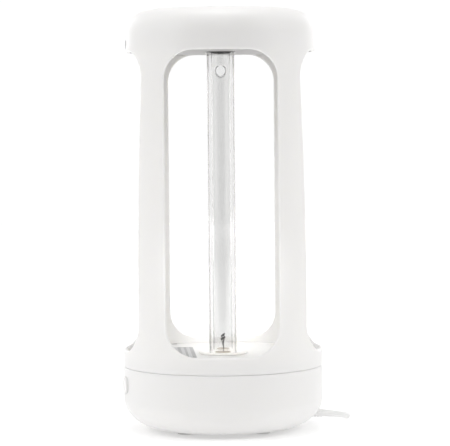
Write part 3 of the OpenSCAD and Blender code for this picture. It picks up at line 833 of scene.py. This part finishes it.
def build_plate(finishes):
    """The printed plate on the deck, with blank bars in place of its print."""
    place = (Matrix.Translation((-0.041, -0.001, DECK_Z))
             @ Matrix.Rotation(math.radians(3.5), 4, "Z"))
    parts = []
    bm = bmesh.new()
    slab(bm, -0.019, 0.019, -0.037, 0.037, 0, 0.00022, place, 0.0001)
    parts.append(piece("plate_ground", bm, finishes["plate"],
                       replaces=["rating_plate"]))
    bm = bmesh.new()
    slab(bm, 0.0065, 0.0186, -0.0366, 0.0366, 0.00022, 0.00030, place, 0.00003)
    parts.append(piece("plate_print", bm, finishes["plate_dark"]))
    bm = bmesh.new()
    for x in (0.0088, 0.0132):
        slab(bm, x, x + 0.0026, -0.034, 0.034, 0.00030, 0.00036, place, 0.00002)
    for k in range(6):
        slab(bm, -0.0172 + 0.0037 * k, -0.0147 + 0.0037 * k, -0.031, 0.031 - 0.006 * (k % 3),
             0.00022, 0.00028, place, 0.00002)
    parts.append(piece("plate_bars", bm, finishes["plate_light"]))
    # A thin grey sheet on the deck is painted shade where a slot opens.
    bm = bmesh.new()
    slab(bm, -0.0023, 0.0023, -0.003, 0.003, 0, 0.00008,
         Matrix.Translation((-0.0398, 0.0634, DECK_Z)), 0.00003)
    parts.append(piece("deck_slot_painted_shade", bm, finishes["slot"]))
    return parts


# --- Cord -----------------------------------------------------------------------------------

def smooth_route(points, steps):
    """Catmull-Rom through the points, which are in millimetres; the result is in metres."""
    made = []
    for i in range(len(points) - 1):
        a, b = points[max(0, i - 1)], points[i]
        c, d = points[i + 1], points[min(len(points) - 1, i + 2)]
        for k in range(steps):
            t = k / steps
            made.append(tuple(MM * 0.5 * (
                2 * q + (r - p) * t + (2 * p - 5 * q + 4 * r - s) * t * t
                + (3 * q - p - 3 * r + s) * t ** 3) for p, q, r, s in zip(a, b, c, d)))
    made.append(tuple(MM * x for x in points[-1]))
    return made


def coil_points():
    """Two flat layers of turns: inwards on the floor, up at the middle, outwards on top."""
    outer, inner, leave = 40.0, 20.0, 35.0
    points = []
    for degrees in range(0, 2640, 8):
        a = math.radians(degrees)
        if degrees < 1440:
            radius, z = outer - (outer - inner) * degrees / 1440, 2.1
        elif degrees < 1560:
            share = (degrees - 1440) / 120
            radius, z = inner, 2.1 + 4.2 * share * share * (3 - 2 * share)
        else:
            radius, z = inner + (leave - inner) * (degrees - 1560) / 1080, 6.3
        points.append((MM * radius * math.cos(a), COIL_Y + MM * radius * math.sin(a), MM * z))
    return points


def cord_points():
    lead = smooth_route(LEAD + [(40, 124, 2.1)], 6)
    tail = smooth_route(TAIL, 6)
    return lead[:-1] + coil_points() + tail


def build_cord(finishes):
    s = sizes()
    points = cord_points()
    data = bpy.data.curves.new("mains_cord", "CURVE")
    data.dimensions = "3D"
    data.bevel_depth = s.cord_d / 2
    data.bevel_resolution = 6
    data.use_fill_caps = True
    spline = data.splines.new("POLY")
    spline.points.add(len(points) - 1)
    for point, co in zip(spline.points, points):
        point.co = (*co, 1)
    spline.use_smooth = True
    data.materials.append(finishes["cord"])
    made = add_object("mains_cord", data)
    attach(made, "housing")
    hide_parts("cord_lead", "cord_coil", "cord_tail")
    return made, points


def build_relief(finishes):
    """The tapered strain relief, with grooves round it."""
    bm = bmesh.new()
    place = (Matrix.Rotation(BASE_TURN, 4, "Z") @ Matrix.Translation((EXIT_R, 0, EXIT_Z))
             @ Matrix.Rotation(math.pi / 2 + EXIT_LEAN, 4, "Y"))
    bore = 0.00212
    profile = [(bore, -0.0137), (0.0040, -0.0140), (0.0043, -0.0138), (0.0043, -0.0117),
               (0.0041, -0.0115), (0.0033, -0.0115), (0.0032, -0.0113), (0.0032, -0.0004),
               (0.0027, 0.0)]
    for k in range(3):
        z = 0.0015 + 0.0022 * k
        r = 0.0027 - 0.00035 * (k + 0.5) / 4
        profile += [(r, z), (r - 0.0002, z + 0.0002), (r - 0.0002, z + 0.0007),
                    (r - 0.00003, z + 0.0009)]
    profile += [(0.00236, 0.0087), (0.00228, 0.0090), (bore, 0.0090), (bore, -0.0137)]
    lathe(bm, profile, place, 40)
    return piece("strain_relief_sleeve", bm, finishes["cord"],
                 replaces=["strain_relief"])


def build_plug(finishes):
    """A flat two-pin plug with round ends, a finger step and a tapered sleeve."""
    bm = bmesh.new()
    x, y, z = PLUG_AT
    place = Matrix.Translation((x, y, z)) @ Matrix.Rotation(math.pi / 2, 4, "X")

    def stadium(half, radius, height):
        points = arc((half, 0), radius, -90, 90, 14) + arc((-half, 0), radius, 90, 270, 14)
        return [place @ Vector((a, b, height)) for a, b in points]

    sections = [(0.0004, 0.0036, 0.0), (0.0006, 0.0037, 0.004), (0.0012, 0.0039, 0.009),
                (0.0030, 0.0042, 0.0118), (0.0060, 0.0050, 0.0132), (0.0078, 0.0059, 0.0142),
                (0.0084, 0.0064, 0.0156), (0.0085, 0.0065, 0.0175), (0.0083, 0.0062, 0.0205),
                (0.0083, 0.0062, 0.0240), (0.0085, 0.0065, 0.0262), (0.0085, 0.0065, 0.0300),
                (0.0084, 0.0062, 0.0307), (0.0081, 0.0058, 0.0310)]
    rows = loft(bm, [stadium(*section) for section in sections])
    for row, section in ((rows[0], sections[0]), (rows[-1], sections[-1])):
        close_ring(bm, row, place @ Vector((0, 0, section[2])))
    body = piece("plug_shell", bm, finishes["cord"], replaces=["plug_body"])
    bm = bmesh.new()
    for side in (-1, 1):
        pin = place @ Matrix.Translation((side * 0.0095, 0, 0.0308))
        profile = [(0, 0), (0.0020, 0), (0.0020, 0.0168)]
        profile += arc((0, 0.0170), 0.0020, 0, 80, 6) + [(0, 0.0190)]
        lathe(bm, profile, pin, 28)
    pins = piece("plug_pin_pair", bm, finishes["pin"], replaces=["plug_pins"])
    return body, pins


def build_tie(finishes):
    """A flat wire tie round the coil."""
    bm = bmesh.new()
    inner, outer = 0.0173, 0.0427
    top = 0.0087
    loop = arc((outer - 0.0015, 0.0017), 0.0015, -90, 0, 5)
    loop += arc((outer - 0.0015, top - 0.0010), 0.0015, 0, 90, 5)
    loop += arc((inner + 0.0015, top - 0.0010), 0.0015, 90, 180, 5)
    loop += arc((inner + 0.0015, 0.0017), 0.0015, 180, 270, 5)
    rows = []
    for across, grow in ((-0.0025, 0), (-0.0019, 0.0007), (0.0019, 0.0007), (0.0025, 0)):
        middle_r, middle_z = (inner + outer) / 2, (top + 0.0007) / 2
        points = []
        for r, z in loop:
            out_r = r + (grow if r > middle_r else -grow)
            out_z = z + (grow * 0.8 if z > middle_z else 0)
            points.append((across, COIL_Y + out_r, max(0.0002, out_z)))
        rows.append(points)
    made = loft(bm, rows)
    join_rings(bm, made[-1], made[0])
    return piece("coil_tie", bm, finishes["tie"], replaces=["cord_tie"])


# --- Finishes of the nodes that stay as they are ---------------------------------------------

# The ceiling plate's grey finish is painted shade.
NODE_FINISH = {
    "ceiling_plate": "ceiling", "tube_grommet": "grommet", "ceiling_screws": "steel",
    "sensor_board": "board", "sensor_receiver": "black",
    "front_cathode": "cathode", "rear_cathode": "cathode", "lamp_pins": "brass",
    "lamp_holder": "deck", "holder_contacts": "brass", "holder_screws": "steel",
    "deck_plate": "deck", "wire_channel": "housing", "sensor_leads": "lead_white",
    "base_screws": "steel", "circuit_board": "board", "board_screws": "steel",
    "choke_coil": "copper", "choke_core": "ferrite", "capacitor": "sleeve",
    "film_capacitors": "resin", "filter_coil": "copper", "fuse": "fuse",
    "transistors": "black", "heat_sink": "sink", "terminal_block": "terminal",
    "switch_plunger": "collar", "switch_body": "black", "switch_board": "board",
    "lamp_leads": "lead_white", "switch_leads": "lead_red", "mains_leads": "lead_brown",
    "cord_clamp": "deck", "clamp_screws": "steel",
}
ROUNDED_NODES = {"ceiling_plate": 0.0003, "deck_plate": 0.0004, "wire_channel": 0.0004}


def finish_nodes(finishes):
    for name, finish in NODE_FINISH.items():
        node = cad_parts[name]
        node.data.materials.clear()
        node.data.materials.append(finishes[finish])
        if name in ROUNDED_NODES:
            weld = node.modifiers.new("weld", "WELD")
            weld.merge_threshold = 1e-6
            bevel = node.modifiers.new("edge", "BEVEL")
            bevel.width = ROUNDED_NODES[name]
            bevel.segments = 2
            bevel.limit_method = "ANGLE"
            bevel.angle_limit = math.radians(50)
            bevel.harden_normals = False


# --- Stage ----------------------------------------------------------------------------------

CAMERA_LENS = 164.0
CAMERA_AT = (0.0031, -1.600, 0.2413)
CAMERA_DOWN = 2.876
CAMERA_ROLL = 0.5
TABLE_HALF = 3.2
WHITE = (1, 1, 1, 1)

# Name, place, aim, width, height, power
SOFTBOXES = (
    ("left_softbox", (-1.35, -0.66, 0.95), (0, 0, 0.25), 0.8, 1.2, 6.8),
    ("right_softbox", (1.35, -0.66, 0.95), (0, 0, 0.25), 0.8, 1.2, 6.0),
    ("top_softbox", (0, 0.05, 1.6), (0, 0, 0.2), 0.7, 0.7, 6.4),
    ("front_softbox", (0, -1.5, 1.3), (0, 0, 0.25), 0.9, 0.5, 3.6),
    ("back_left_softbox", (-0.9, 1.5, 0.5), (0, 0, 0.2), 0.6, 1.0, 3.0),
    ("back_right_softbox", (0.9, 1.5, 0.5), (0, 0, 0.2), 0.6, 1.0, 3.0),
)


def build_camera(scene):
    camera = add_object("camera", bpy.data.cameras.new("camera"))
    camera.data.lens = CAMERA_LENS
    camera.data.sensor_width = 36.0
    camera.data.clip_start, camera.data.clip_end = 0.05, 30.0
    camera.location = CAMERA_AT
    camera.rotation_euler = (math.radians(90 - CAMERA_DOWN), math.radians(CAMERA_ROLL), 0)
    scene.camera = camera


def build_world(scene):
    """A studio that is white behind the lamp, pale at its sides and dim behind the camera."""
    world = bpy.data.worlds.new("studio")
    scene.world = world
    world.use_nodes = True
    tree = world.node_tree
    looking = add_node(tree, "ShaderNodeTexCoord").outputs["Generated"]
    along = add_node(tree, "ShaderNodeSeparateXYZ", {"Vector": looking}).outputs["Y"]
    sides = map_range(tree, along, -0.88, -0.60, 0.08, 0.60, smooth=True)
    screen = map_range(tree, along, 0.86, 0.97, 0.0, 0.42, smooth=True)
    background = tree.nodes["Background"]
    background.inputs["Color"].default_value = WHITE
    tree.links.new(sum_up(tree, "ADD", sides, screen), background.inputs["Strength"])


def make_paper():
    """Pale paper with a faint glow of painted light, weaker near the lamp and stronger far off.
    Towards the camera the paper turns grey as painted shade and loses the glow, falling away into
    the dim side.
    """
    paper = bpy.data.materials.new("Backdrop paper")
    paper.use_nodes = True
    tree = paper.node_tree
    shader = next(n for n in tree.nodes if n.type == "BSDF_PRINCIPLED")
    shader.inputs["Roughness"].default_value = 0.9
    shader.inputs["Emission Color"].default_value = WHITE
    where = add_node(tree, "ShaderNodeTexCoord").outputs["Object"]
    away = add_node(tree, "ShaderNodeVectorMath", {0: where},
                    operation="LENGTH").outputs["Value"]
    near = map_range(tree, away, 0.12, 0.6, 0.25, 0.29)
    far = map_range(tree, away, 1.0, 2.8, 0.0, 0.28)
    along = add_node(tree, "ShaderNodeSeparateXYZ", {"Vector": where}).outputs["Y"]
    lit = map_range(tree, along, -1.0, -0.42, 0.0, 1.0, smooth=True)
    # Painted light: the glow's strength, lower near the lamp, higher far off, gone towards the
    # camera.
    painted_glow = sum_up(tree, "MULTIPLY", sum_up(tree, "ADD", near, far), lit)
    tree.links.new(painted_glow, shader.inputs["Emission Strength"])
    # Painted shade: the paper's colour greys towards the camera.
    painted_shade_tone = add_node(tree, "ShaderNodeMix", {
        "Factor": lit, "A": (0.30, 0.30, 0.30, 1), "B": (0.86, 0.86, 0.86, 1)},
        data_type="RGBA")
    tree.links.new(painted_shade_tone.outputs["Result"], shader.inputs["Base Color"])
    return paper


def build_backdrop():
    bm = bmesh.new()
    loft(bm, [[(x, y, 0.0) for y in (-TABLE_HALF, 0.0, TABLE_HALF)]
              for x in (-TABLE_HALF, TABLE_HALF)], closed=False)
    mesh = smooth_mesh("backdrop", bm)
    mesh.materials.append(make_paper())
    backdrop = add_object("backdrop", mesh)


def add_light(name, data, at, aim):
    made = add_object(name, data)
    made.location = at
    made.rotation_mode = "QUATERNION"
    made.rotation_quaternion = (Vector(aim) - Vector(at)).to_track_quat("-Z", "Y")


def build_lights():
    for name, at, aim, width, height, power in SOFTBOXES:
        data = bpy.data.lights.new(name, "AREA")
        data.shape = "RECTANGLE"
        data.size, data.size_y, data.energy = width, height, power
        add_light(name, data, at, aim)
    snoot = bpy.data.lights.new("snoot", "SPOT")
    snoot.energy, snoot.spot_size, snoot.spot_blend = 60.0, math.radians(3.4), 0.6
    snoot.shadow_soft_size = 0.02
    add_light("snoot", snoot, (0, -1.2, 1.0), (0, 0.02, 0.062))


def build_stage():
    scene = bpy.context.scene
    scene.view_settings.view_transform = "Standard"
    scene.view_settings.look = "None"
    build_camera(scene)
    build_world(scene)
    build_backdrop()
    build_lights()


# --- Operators ------------------------------------------------------------------------------

class LAMP_OT_stage(bpy.types.Operator):
    """Make the camera, the lights and the pale backdrop"""
    bl_idname = "lamp.stage"
    bl_label = "Stage"

    def execute(self, context):
        build_stage()
        return {"FINISHED"}


class LAMP_OT_cord(bpy.types.Operator):
    """Lay the mains cord with its strain relief, coil, tie and plug"""
    bl_idname = "lamp.cord"
    bl_label = "Mains cord"

    def execute(self, context):
        finishes = make_finishes()
        cord, points = build_cord(finishes)
        relief = build_relief(finishes)
        plug, pins = build_plug(finishes)
        tie = build_tie(finishes)
        return {"FINISHED"}


class LAMP_OT_housing(bpy.types.Operator):
    """Build the upper housing: four windows, their rounded edges and the cap"""
    bl_idname = "lamp.housing"
    bl_label = "Housing"

    def execute(self, context):
        build_housing(make_finishes())
        return {"FINISHED"}


class LAMP_OT_base(bpy.types.Operator):
    """Build the base cup and its rubber feet"""
    bl_idname = "lamp.base"
    bl_label = "Base and feet"

    def execute(self, context):
        finishes = make_finishes()
        build_base(finishes)
        build_feet(finishes)
        return {"FINISHED"}


class LAMP_OT_tubes(bpy.types.Operator):
    """Build the bridged quartz tubes and the collar they stand in"""
    bl_idname = "lamp.tubes"
    bl_label = "Lamp tubes"

    def execute(self, context):
        finishes = make_finishes()
        build_quartz(finishes)
        build_collar(finishes)
        build_cement(finishes)
        build_seal(finishes)
        return {"FINISHED"}


class LAMP_OT_controls(bpy.types.Operator):
    """Build the push button and the sensor's window"""
    bl_idname = "lamp.controls"
    bl_label = "Button and sensor"

    def execute(self, context):
        finishes = make_finishes()
        build_button(finishes)
        build_sensor(finishes)
        return {"FINISHED"}


class LAMP_OT_plate(bpy.types.Operator):
    """Build the printed plate on the deck"""
    bl_idname = "lamp.plate"
    bl_label = "Plate"

    def execute(self, context):
        build_plate(make_finishes())
        return {"FINISHED"}


class LAMP_OT_frame_finishes(bpy.types.Operator):
    """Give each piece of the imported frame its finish"""
    bl_idname = "lamp.frame_finishes"
    bl_label = "Frame finishes"

    def execute(self, context):
        finish_nodes(make_finishes())
        return {"FINISHED"}


OPERATORS = (LAMP_OT_stage, LAMP_OT_cord, LAMP_OT_housing, LAMP_OT_base, LAMP_OT_tubes,
             LAMP_OT_controls, LAMP_OT_plate, LAMP_OT_frame_finishes)


class LAMP_PT_sidebar(bpy.types.Panel):
    """The lamp's operators, sizes and colours"""
    bl_idname = "LAMP_PT_sidebar"
    bl_label = "Tube Lamp"
    bl_space_type = "VIEW_3D"
    bl_region_type = "UI"
    bl_category = "Tube Lamp"

    def draw(self, context):
        for operator in OPERATORS:
            self.layout.operator(operator.bl_idname)
        for group in (context.scene.lamp_sizes, context.scene.lamp_colours):
            box = self.layout.box()
            for name in group.bl_rna.properties.keys():
                if name not in ("rna_type", "name"):
                    box.prop(group, name)


CLASSES = (LampSizes, LampColours) + OPERATORS + (LAMP_PT_sidebar,)


def register():
    for item in CLASSES:
        bpy.utils.register_class(item)
    bpy.types.Scene.lamp_sizes = PointerProperty(type=LampSizes)
    bpy.types.Scene.lamp_colours = PointerProperty(type=LampColours)


def unregister():
    del bpy.types.Scene.lamp_colours
    del bpy.types.Scene.lamp_sizes
    for item in reversed(CLASSES):
        bpy.utils.unregister_class(item)


def main():
    register()
    bpy.ops.lamp.stage()
    bpy.ops.lamp.cord()
    bpy.ops.lamp.housing()
    bpy.ops.lamp.base()
    bpy.ops.lamp.tubes()
    bpy.ops.lamp.controls()
    bpy.ops.lamp.plate()
    bpy.ops.lamp.frame_finishes()


if __name__ == "__main__":
    main()
